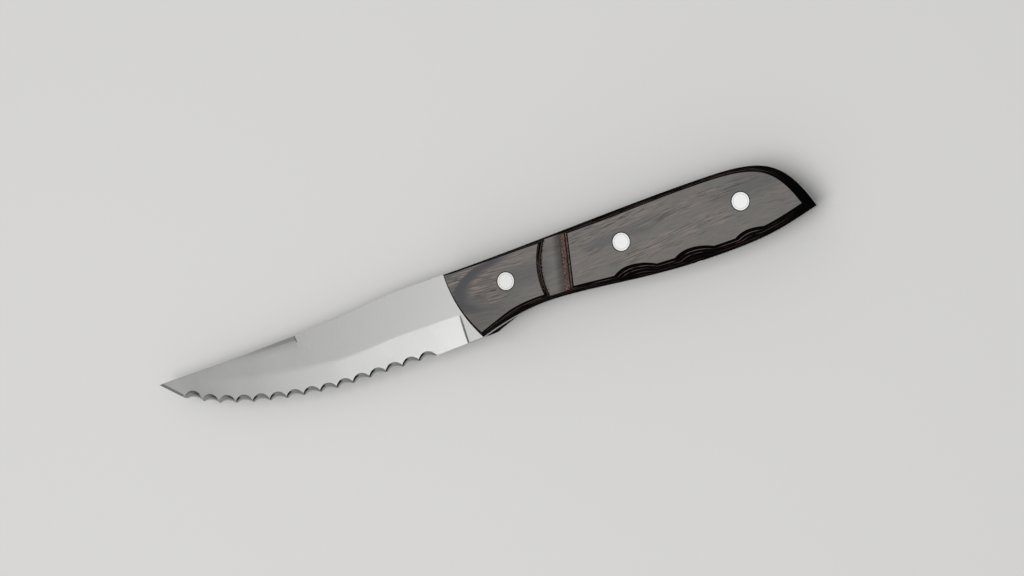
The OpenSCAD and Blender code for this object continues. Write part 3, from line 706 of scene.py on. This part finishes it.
woodLook = {
    # face and smooth are the flat's colours with a painted sheen of the light from above in them, so gloss
    # stays 0; edgeDark is the dark veneers pushed near black, as painted shade on walls and in the channel,
    # and the line round each rivet
    "face": (0.208, 0.200, 0.190), "smooth": (0.165, 0.165, 0.164), "dash": (0.325, 0.262, 0.235),
    "pore": (0.082, 0.080, 0.074), "poreShare": 0.9, "edgeDark": (0.0035, 0.003, 0.003),
    "veneer": (0.13, 0.085, 0.07), "fibre": (0.30, 0.215, 0.195), "wallVeneer": 0.9,
    "roughness": 0.5, "dashRoughness": (-0.05, 0.07), "gloss": 0, "grainDepth": 0.00003, "grainBump": 0.5,
    # how far the grain swings to each side, and over what length, in millimetres
    "swing": 2.3, "swingMiddle": 10, "swingLength": 160,
    # levels of noise at which dashes and pores start and are full, and of the bands that thin them out
    "dashSpan": (0.47, 0.6), "dashBands": (0.38, 0.55), "poreSpan": (0.5, 0.37), "poreBands": (0.62, 0.45),
    "bandLeast": 0.4, "patchSpan": (0.3, 0.55, 0.45, 1.15), "leastGrain": 0.22,
    # noises, most of them in waves per millimetre along the swinging grain
    "dashNoise": {"waves": (0.15, 2.3, 1.1), "detail": 5, "roughness": 0.66, "distortion": 0.2},
    "bandNoise": {"waves": (0.03, 0.75, 0.4), "detail": 3, "roughness": 0.55, "distortion": 0.2,
                  "place": (3, 1, 0)},
    "patchNoise": {"waves": (0.05, 0.25, 0.2), "detail": 3, "place": (5, 2, 0)},
    "raggedShadeNoise": {"waves": (0.7, 3.2, 1), "detail": 3, "place": (1, 7, 0)},
    "fibreNoise": {"waves": (1.3, 4.2, 2), "detail": 3, "roughness": 0.65, "place": (2, 9, 4)},
    "breakNoise": {"waves": (0.14, 0.1, 1.2), "detail": 3, "place": (8, 3, 1)},
    "depthNoise": {"waves": (45, 45, 45), "detail": 2},  # waves per metre of the piece
    # zones of open grain: middle, half length, half width and strength, along the swinging grain
    "openGrain": [(-58, 7.5, 14, 3.2, 1), (-51, 0.8, 8.5, 5.5, 1), (-38, 8.2, 10, 2.2, 0.7),
                  (-36, -5.5, 8, 2.5, 0.35), (-2, 7.6, 22, 3, 1), (-14, 0.5, 10, 6, 0.55),
                  (28, 3.6, 24, 2.4, 0.8), (20, -5, 26, 3.6, 0.75), (45, 9.6, 16, 1.6, 0.7),
                  (60, -4.5, 9, 4.5, 0.45), (-56, -8, 6, 2.5, 0.3)],
    # dark smooth clouds: the same, without a strength
    "clouds": [(-36, 2.2, 8, 3.6), (6, 3.0, 16, 2.2), (50, 2, 12, 4), (-8, 3.6, 6, 2)],
    "grainSoft": 0.7, "cloudSoft": 0.8,
    # the front is a little darker than the palm, under its brown dashes
    "frontSpan": (-62, -30), "frontTone": 0.76,
    # the dark arch at the front: middle, half length and half width of its outline, where its band starts and
    # ends as shares of them, how far it wanders, and its limits along and across the scale
    "archDark": (0.106, 0.106, 0.11), "archMiddle": (-40, -0.8), "archLength": 25.6, "archWidth": 10.2,
    "archStart": (0.68, 0.88), "archEnd": (1.03, 0.98), "archWander": 0.03,
    "archAlong": (-37, -48), "archAcross": (-10, -4),
    # the dark line round each rivet, from its middle
    "rivetSpan": (3.6, 3.2), "rivetShare": 0.8,
    # painted shade: the channel's floor darkens by half at the foot of the slope, and has a ragged band of
    # painted
    # shade along the front wall: distances from its depth, its rear, the slope's foot and the wall's radius
    "floorSpan": (-0.5, -0.2), "rearSpan": (3.2, 1.2), "footSpan": (-2, 1), "footShare": 0.5,
    "raggedShadeReach": 3.6, "raggedShadeSpan": (0.5, 0.8),
    # depths under the flat with the share of brown: bands on slopes, and thin lines on walls
    "slopeVeneers": [(0, 0), (0.28, 0), (0.5, 1), (0.72, 1), (0.9, 0), (1.02, 0), (1.25, 1), (2.0, 1),
                     (2.3, 0.2), (2.6, 0), (7, 0)],
    "wallLines": [(0, 0), (0.4, 0), (0.52, 0.6), (0.66, 0), (1.5, 0), (1.68, 1), (1.86, 0), (2.9, 0),
                  (3.05, 0.75), (3.2, 0), (4.5, 0), (4.65, 0.4), (4.8, 0), (5.9, 0), (6.02, 0.3),
                  (6.14, 0), (7, 0)],
    # spans of noise with what they give: how far depths wander, and how whole bands and lines are
    "depthWander": (0.2, 0.8, -0.09, 0.09), "bandFibres": (0.38, 0.52, 0.15, 1),
    "lineBreaks": (0.4, 0.56, 0.05, 1),
    "brownSpan": (0.5, 0.68),
    # the wall's lines end before the butt, and its first line stays off the finger side
    "lineEnd": (62, 50), "lineTop": (0.8, 1.0), "backSide": (0, 4),
    # brown specks on the channel's front wall: strength of the fibres, depths, both ends, and across
    # the scale
    "speckFibres": (0.5, 0.6, 0, 0.6), "speckDepth": (1.7, 1.1), "speckRear": (-27, -28),
    "speckFront": (-37.5, -37), "speckMiddle": -1.5, "speckAcross": (8, 4),
    # how upright a face is where a wall turns into a slope, and a slope into the flat with its painted sheen
    "wallToSlope": (0.55, 0.8), "slopeToFlat": (0.95, 0.995),
}


def inEllipse(x, y, zone, soft):
    # one in the middle of an ellipse and nothing outside it
    u = maths("DIVIDE", minus(x, zone[0]), zone[2])
    v = maths("DIVIDE", minus(y, zone[1]), zone[3])
    return between(add(times(u, u), times(v, v)), 1 + soft, 1 - soft)


def sharesAt(depth, table):
    # a ramp over the depth under the flat
    ramp = node(depth.id_data, "ShaderNodeValToRGB")
    elements = ramp.color_ramp.elements
    while len(elements) < len(table):
        elements.new(0.5)
    for element, (place, part) in zip(elements, table):
        element.position, element.color = place / knife["scaleThickness"], (part, part, part, 1)
    plug(maths("DIVIDE", depth, knife["scaleThickness"], clamp=True), ramp.inputs[0])
    return ramp.outputs[0]


def archShare(faceX, faceY, dashes, patches):
    # the arch is dark inside the outline of an ellipse, and fades inwards
    look = woodLook
    arch = reachOf(maths("DIVIDE", minus(faceX, look["archMiddle"][0]), look["archLength"]),
                   maths("DIVIDE", minus(faceY, look["archMiddle"][1]), look["archWidth"]))
    for level in (dashes, patches):
        arch = add(arch, between(level, *wideSpan, -look["archWander"], look["archWander"]))
    band = times(between(arch, *look["archStart"]), between(arch, *look["archEnd"]))
    return times(band, times(between(faceX, *look["archAlong"]), between(faceY, *look["archAcross"])))


def channelPaintedShade(faceX, faceY, depth, grain):
    # painted shade at the foot of the channel's slope, and a ragged band of painted shade along its front
    # wall
    look, s = woodLook, scale
    inChannel = times(between(depth, *(s["channelDepth"] + more for more in look["floorSpan"])),
                      between(faceX, *(more - s["channelX"] for more in look["rearSpan"])))
    slant = math.radians(s["channelSlant"])
    fromTop = minus(times(add(faceX, s["channelX"]), math.cos(slant)), times(faceY, math.sin(slant)))
    foot = between(fromTop, *(more - s["channelSlope"] for more in look["footSpan"]))
    sweep = reachOf(minus(faceX, channelCentre[0]), minus(faceY, channelCentre[1]))
    raggedShade = times(noise(grain, **look["raggedShadeNoise"]), look["raggedShadeReach"])
    raggedShade = between(add(sweep, raggedShade), *(s["channelRadius"] + more for more in look["raggedShadeSpan"]))
    return times(largest(times(foot, look["footShare"]), raggedShade), inChannel)


def flatColour(faceX, faceY, grainY, depth, grain, dashes):
    # short dashes in zones of open grain, dark pores between them, and smooth dark clouds
    look = woodLook
    bands, patches = noise(grain, **look["bandNoise"]), noise(grain, **look["patchNoise"])
    zone = largest(*(times(inEllipse(faceX, grainY, place, look["grainSoft"]), place[4])
                     for place in look["openGrain"]))
    zone = maths("MULTIPLY", zone, between(patches, *look["patchSpan"]), clamp=True)
    zone = largest(zone, look["leastGrain"])
    cloud = largest(*(inEllipse(faceX, grainY, place, look["cloudSoft"]) for place in look["clouds"]))
    light = times(between(dashes, *look["dashSpan"]),
                  between(bands, *look["dashBands"], look["bandLeast"], 1))
    dark = times(between(dashes, *look["poreSpan"]),
                 between(bands, *look["poreBands"], look["bandLeast"], 1))
    face = blendColours(cloud, look["face"], look["smooth"])
    face = blendColours(1.0, face, between(faceX, *look["frontSpan"], look["frontTone"], 1), "MULTIPLY")
    face = blendColours(times(zone, light), face, look["dash"])
    face = blendColours(times(zone, times(dark, look["poreShare"])), face, look["pore"])
    face = blendColours(archShare(faceX, faceY, dashes, patches), face, look["archDark"])
    rivetLine = between(fromRivet(faceX, faceY), *look["rivetSpan"], 0, look["rivetShare"])
    face = blendColours(rivetLine, face, look["edgeDark"])
    return blendColours(channelPaintedShade(faceX, faceY, depth, grain), face, look["edgeDark"])


def edgeColour(faceX, faceY, depth, grain, slope):
    # veneers show as bands of short fibres on slopes, and as thin broken lines on walls
    look = woodLook
    fibres, breaks = noise(grain, **look["fibreNoise"]), noise(grain, **look["breakNoise"])
    bandShare = times(sharesAt(depth, look["slopeVeneers"]), between(fibres, *look["bandFibres"]))
    lower = largest(between(depth, *look["lineTop"]), between(faceY, *look["backSide"]))
    lineShare = times(sharesAt(depth, look["wallLines"]), between(breaks, *look["lineBreaks"]),
                      between(faceX, *look["lineEnd"]), lower, look["wallVeneer"])
    fromSpecks = maths("ABSOLUTE", minus(faceY, look["speckMiddle"]))
    specks = times(between(fibres, *look["speckFibres"]), between(depth, *look["speckDepth"]),
                   between(faceX, *look["speckRear"]), between(faceX, *look["speckFront"]),
                   between(fromSpecks, *look["speckAcross"]))
    wall = blendColours(largest(lineShare, specks), look["edgeDark"], look["fibre"])
    brown = blendColours(between(fibres, *look["brownSpan"]), look["veneer"], look["fibre"])
    return blendColours(slope, wall, blendColours(bandShare, look["edgeDark"], brown))


def laminatedWood(name):
    # dyed veneers are stacked along Z; flat faces are painted lighter than walls and slopes, a painted sheen
    # of the light from above, and walls are painted near black as shade
    look = woodLook
    material, tree, shader = newMaterial(name)
    shader.inputs["Specular IOR Level"].default_value = look["gloss"]
    place = ownPlace(tree)
    faceX, faceY, fromMiddle = inKnife(place)
    # depth under the flat, alike on both sides of the tang
    wander = between(noise(place, **look["depthNoise"]), *look["depthWander"])
    depth = add(minus(sideZ, maths("ABSOLUTE", fromMiddle)), wander)
    upright = maths("ABSOLUTE", facing(tree)[2])
    # the grain swings from side to side
    turns = times(minus(faceX, look["swingMiddle"]), 2 * math.pi / look["swingLength"])
    grainY = minus(faceY, times(maths("SINE", turns), look["swing"]))
    grain = node(tree, "ShaderNodeCombineXYZ", {0: faceX, 1: grainY, 2: fromMiddle}).outputs[0]
    dashes = noise(grain, **look["dashNoise"])
    face = flatColour(faceX, faceY, grainY, depth, grain, dashes)
    edge = edgeColour(faceX, faceY, depth, grain, between(upright, *look["wallToSlope"]))
    # flat faces take the face colour with its painted sheen, walls and slopes the darker edge colour as
    # painted shade
    plug(blendColours(between(upright, *look["slopeToFlat"]), edge, face), shader.inputs["Base Color"])
    low, high = (look["roughness"] + change for change in look["dashRoughness"])
    plug(between(dashes, *noiseSpan, low, high), shader.inputs["Roughness"])
    bumpFrom(shader, dashes, look["grainDepth"], look["grainBump"])
    return material


scaleWood = laminatedWood("laminatedWood")
print("wood ready")


def scaleRing():
    # outline of the scale's base, from the middle of its front, and the places of its three corners
    n = scale["frontSteps"]
    heel, corner = Vector(handleCorners[-1]), Vector(handleCorners[0])
    half = (corner - heel).length / 2
    along = (corner - heel) / (2 * half)
    left = Vector((-along.y, along.x))
    r = handle["frontRadius"]
    centre = (heel + corner) / 2 - left * math.sqrt(r * r - half * half)
    swing = math.asin(half / r)
    angles = [swing * (2 * i / n - 1) for i in range(n)]
    front = [centre + r * (left * math.cos(a) + along * math.sin(a)) for a in angles]
    rest = [Vector(p) for stretch in handleStretches(handle["steps"]) for p in stretch]
    first = n - n // 2
    return (front[n // 2:] + rest + front[:n // 2],
            (first, first + 2 * handle["steps"], first + 5 * handle["steps"]))


def ringMoves(ring, corners, leans):
    # how each point of the ring moves inwards, so that each side leans by its own amount up to its corners
    n = len(ring)
    ends = (corners[2] - n, *corners, n + corners[0])

    def inward(i):
        d = (ring[(i + 1) % n] - ring[i % n]).normalized()
        return Vector((d.y, -d.x))

    def way(i):
        v = inward(i)
        return Vector((-v.y, v.x))

    def cornerMove(i):
        a, b, u, v = inward(i - 1), inward(i), leans[(i - 1) % n], leans[i % n]
        return Vector((u * b.y - v * a.y, v * a.x - u * b.x)) / (a.x * b.y - a.y * b.x)
    moves = []
    for i in range(n):
        first, last = next((a, b) for a, b in zip(ends, ends[1:]) if a <= i < b)
        part = (i - first) / (last - first)
        if part == 0:
            moves.append(cornerMove(first))
            continue
        a, b = cornerMove(first).dot(way(first)), cornerMove(last).dot(way(last - 1))
        normal = (inward(i - 1) + inward(i)).normalized()
        moves.append(normal * (leans[i - 1] + leans[i]) / 2 + way(i) * ((1 - part) * a + part * b))
    return moves


def leanAt(i, p):
    if i < corners[0] or i >= corners[2]:
        return scale["frontInset"]
    if i < corners[1]:
        return scale["backInset"] * smooth(scale["back"], (p.x - frontX) / (buttX - frontX))
    return scale["fingerInset"] * smooth(scale["finger"], (p.x - heelX) / knife["handleLength"])


ring, corners = scaleRing()
moves = ringMoves(ring, corners, [leanAt(i, p) for i, p in enumerate(ring)])
easeMoves = ringMoves(ring, corners, [1] * len(ring))


def ringAt(part, z, further=0):
    s = smooth(scale["side"], part)
    return [(p.x + m.x * s + e.x * further, p.y + m.y * s + e.y * further, z)
            for p, m, e in zip(ring, moves, easeMoves)]


def scaleSkin():
    ease, wallTop = scale["ease"], sideZ - scale["ease"]
    shares = [k / scale["wallRings"] for k in range(scale["wallRings"] + 1)]
    rings = [ringAt(part, halfPlate + part * (wallTop - halfPlate)) for part in shares]
    for k in range(1, scale["easeRings"] + 1):
        a = math.pi / 2 * k / scale["easeRings"]
        rings.append(ringAt(1, wallTop + ease * math.sin(a), ease * (1 - math.cos(a))))
    return loft(rings)


def channelCutter():
    # a round front wall, a flat floor and an easy slope at the rear
    s = scale
    lowRadius = s["channelRadius"] - s["channelWall"]
    topRadius = s["channelRadius"] + s["channelWall"] * overrun / s["channelDepth"]
    cone = rod(lowRadius, sideZ - s["channelDepth"], sideZ + overrun, *channelCentre, 360, topRadius)
    shape = [(0, 0), *s["slopeEnds"], (1, 1)]
    ends = [(-s["channelSlope"] * a, -s["channelDepth"] * b) for a, b in shape]
    front = -s["channelRadius"]
    line = cubic(ends, 40) + [ends[-1], (front, -s["channelDepth"]), (front, overrun),
                              (2 * overrun, overrun)]
    slant = Matrix.Rotation(math.radians(-s["channelSlant"]), 3, "Z")
    rear = Vector((-s["channelX"], 0, sideZ))
    rings = [[tuple(slant @ Vector((u, y, v)) + rear) for u, v in line]
             for y in (-s["channelReach"], s["channelReach"])]
    piece = makeObject("channel", meshFrom("channel", *loft(rings)))
    cutAway(piece, [meshFrom("cone", *cone)], "INTERSECT")
    mesh = piece.data
    bpy.data.objects.remove(piece)
    return mesh


def grooveCutters():
    # leaning finger grooves, each with a tight front and an easy rear
    line = sorted((p[0], p[1]) for p in ringAt(1, 0)[corners[1]:corners[2] + 1])
    front, rear = scale["grooveFront"], scale["grooveRear"]
    arcs = [(r, math.radians(start - 90 * k / 48))
            for start, r in ((180, front), (90, rear)) for k in range(49)]
    profile = [(r * math.cos(a), r * (math.sin(a) - 1)) for r, a in arcs]
    profile += [(rear, -rear - overrun), (-front, -rear - overrun)]
    lean = Matrix.Rotation(math.radians(-scale["grooveLean"]), 3, "X")
    made = []
    for i, part in enumerate(scale["grooves"]):
        x = i * knife["rivetPitch"] / 2
        deepest = Vector((x, onLine(line, x) + scale["grooveDepth"] * part, sideZ))
        rings = [[tuple(lean @ Vector((u, v, w)) + deepest) for u, v in profile]
                 for w in (-2 * knife["scaleThickness"], knife["scaleThickness"])]
        made.append(meshFrom("groove", *loft(rings)))
    return made


leftScale = makeObject("leftScale", meshFrom("leftScale", *scaleSkin()), scaleWood)
print("scale skinned:", len(leftScale.data.polygons), "faces")
seatZ = sideZ - rivets["headSink"] - rivets["headThickness"]
seatRadius = rivets["headDiameter"] / 2 + knife["fit"]
bores = []
for x in rivetXs:
    bores.append(meshFrom("bore", *rod(boreRadius, halfPlate - overrun, sideZ + overrun, x)))
    bores.append(meshFrom("seat", *rod(seatRadius, seatZ, sideZ + overrun, x)))
cutAway(leftScale, [channelCutter()] + grooveCutters() + bores)
tidyNormals(leftScale.data, scale["smoothAngle"])

rightMesh = leftScale.data.copy()
rightMesh.transform(Matrix.Translation((0, 0, 2 * sideZ * millimetre)) @ Matrix.Scale(-1, 4, (0, 0, 1)))
rightMesh.flip_normals()
rightScale = makeObject("rightScale", rightMesh)
tidyNormals(rightScale.data, scale["smoothAngle"])
for piece, cadNode in ((leftScale, "left_scale"), (rightScale, "right_scale")):
    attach(piece, "root")
    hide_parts(cadNode)
print("scales cut:", len(leftScale.data.polygons), "faces each")

# the rivets
rivetLook = {
    "colour": (0.45, 0.45, 0.447), "roughness": 0.26, "grain": (1500, 1500, 1500), "grainTone": 0.015,
    # faint rings: millimetres apart, what they change and how deep they are
    "ringPitch": 0.12, "ringTone": (0.97, 1.0), "ringRoughness": (-0.02, 0.03),
    "ringDepth": 0.000001, "ringBump": 0.4,
    # the darker ring where the head was set: radius, half width, and tone
    "setRadius": 2.5, "setSpan": (0.08, 0.28), "setTone": 0.8,
}


def turnedMetal(name):
    # faint rings of a turned face round each rivet's own middle
    look = rivetLook
    material, tree, shader = newMaterial(name)
    shader.inputs["Metallic"].default_value = 1
    place = ownPlace(tree)
    x, y, z = inKnife(place)
    radius = fromRivet(x, y)
    rings = maths("SINE", times(radius, 2 * math.pi / look["ringPitch"]))
    specks = noise(place, look["grain"], detail=3)
    tint = add(between(rings, -1, 1, *look["ringTone"]),
               between(specks, *noiseSpan, -look["grainTone"], look["grainTone"]))
    setRing = maths("ABSOLUTE", minus(radius, look["setRadius"]))
    tint = times(tint, between(setRing, *look["setSpan"], look["setTone"], 1.0))
    plug(blendColours(1.0, look["colour"], tint, "MULTIPLY"), shader.inputs["Base Color"])
    low, high = look["ringRoughness"]
    rough = add(between(rings, -1, 1, look["roughness"] + low, look["roughness"] + high),
                between(specks, *noiseSpan, low, high))
    plug(rough, shader.inputs["Roughness"])
    bumpFrom(shader, rings, look["ringDepth"], look["ringBump"])
    return material


rivetMetal = turnedMetal("turnedMetal")


def rivetProfile(half):
    # radius and height of the turned outline, from the middle of the head's face
    r, c = rivets["headDiameter"] / 2, rivets["chamfer"]
    top, under = sideZ - rivets["headSink"], seatZ
    if half == "tube":
        bevel, low = rivets["tubeBevel"], rivets["tubeGap"] - under
        bore, shank = rivets["postDiameter"] / 2 + knife["fit"], rivets["tubeDiameter"] / 2
        inner = under - rivets["tubeFloor"]
        end = [(shank, low + bevel), (shank - bevel, low), (bore + bevel, low), (bore, low + bevel),
               (bore, inner), (0, inner)]
    else:
        bevel, low = rivets["postBevel"], rivets["tubeFloor"] + rivets["tubeGap"] - under
        shank = rivets["postDiameter"] / 2
        end = [(shank, low + bevel), (shank - bevel, low), (0, low)]
    turns = [math.pi / 12 * k for k in range(7)]
    rounded = [(r - c + c * math.sin(a), top - c + c * math.cos(a)) for a in turns]
    headFoot = [(r, under + rivets["headBevel"]), (r - rivets["headBevel"], under), (shank, under)]
    return [(0, top), (r * 0.5, top), (r - c - 0.02, top)] + rounded + headFoot + end


def latheTree():
    # turns a profile (x is the radius, z the height) about an upright line
    inputs = {"Rows": "Int", "Segments": "Int", "Place": "Vector", "Finish": "Material"}
    tree, enter, leave = startTree("turnProfile", inputs)
    columns = node(tree, "FunctionNodeIntegerMath", {0: enter["Segments"], 1: 1}, operation="ADD").outputs[0]
    grid = node(tree, "GeometryNodeMeshGrid", {"Vertices X": enter["Rows"], "Vertices Y": columns})
    # each point of the grid has a row, which is a point of the profile, and a column, which is a turn
    index = node(tree, "GeometryNodeInputIndex").outputs[0]
    row, column = (node(tree, "FunctionNodeIntegerMath", {0: index, 1: columns}, operation=kind).outputs[0]
                   for kind in ("DIVIDE", "MODULO"))
    profile = node(tree, "GeometryNodeSampleIndex", data_type="FLOAT_VECTOR")
    plug(enter["Geometry"], profile.inputs["Geometry"])
    plug(node(tree, "GeometryNodeInputPosition").outputs[0], profile.inputs["Value"])
    plug(row, profile.inputs["Index"])
    angle = times(maths("DIVIDE", column, enter["Segments"]), 2 * math.pi)
    turned = node(tree, "ShaderNodeVectorRotate", {"Vector": profile.outputs[0], "Angle": angle},
                  rotation_type="Z_AXIS")
    moved = node(tree, "ShaderNodeVectorMath", {0: turned.outputs[0], 1: enter["Place"]}, operation="ADD")
    put = node(tree, "GeometryNodeSetPosition", {"Geometry": grid.outputs["Mesh"],
                                                 "Position": moved.outputs[0]})
    seam = node(tree, "GeometryNodeMergeByDistance", {"Geometry": put.outputs["Geometry"],
                                                      "Distance": seamDistance})
    finishTree(seam.outputs["Geometry"], enter["Finish"], leave)
    return tree


lathe = latheTree()
for half in ("tube", "post"):
    outline = rivetProfile(half)
    if half == "post":
        outline = [(r, -z) for r, z in outline]
    for label, x in zip(("front", "middle", "rear"), rivetXs):
        mesh = bpy.data.meshes.new("profile")
        mesh.from_pydata([(r * millimetre, 0, z * millimetre) for r, z in outline], [], [])
        piece = makeObject(label + "Rivet" + half.capitalize(), mesh)
        runTree(piece, lathe, {"Rows": len(outline), "Segments": rivets["segments"], "Finish": rivetMetal,
                               "Place": inModel((x, 0, 0))})
        tidyNormals(piece.data, rivets["smoothAngle"])
        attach(piece, "root")
        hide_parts(label + "_rivet_" + half)
print("rivets turned")
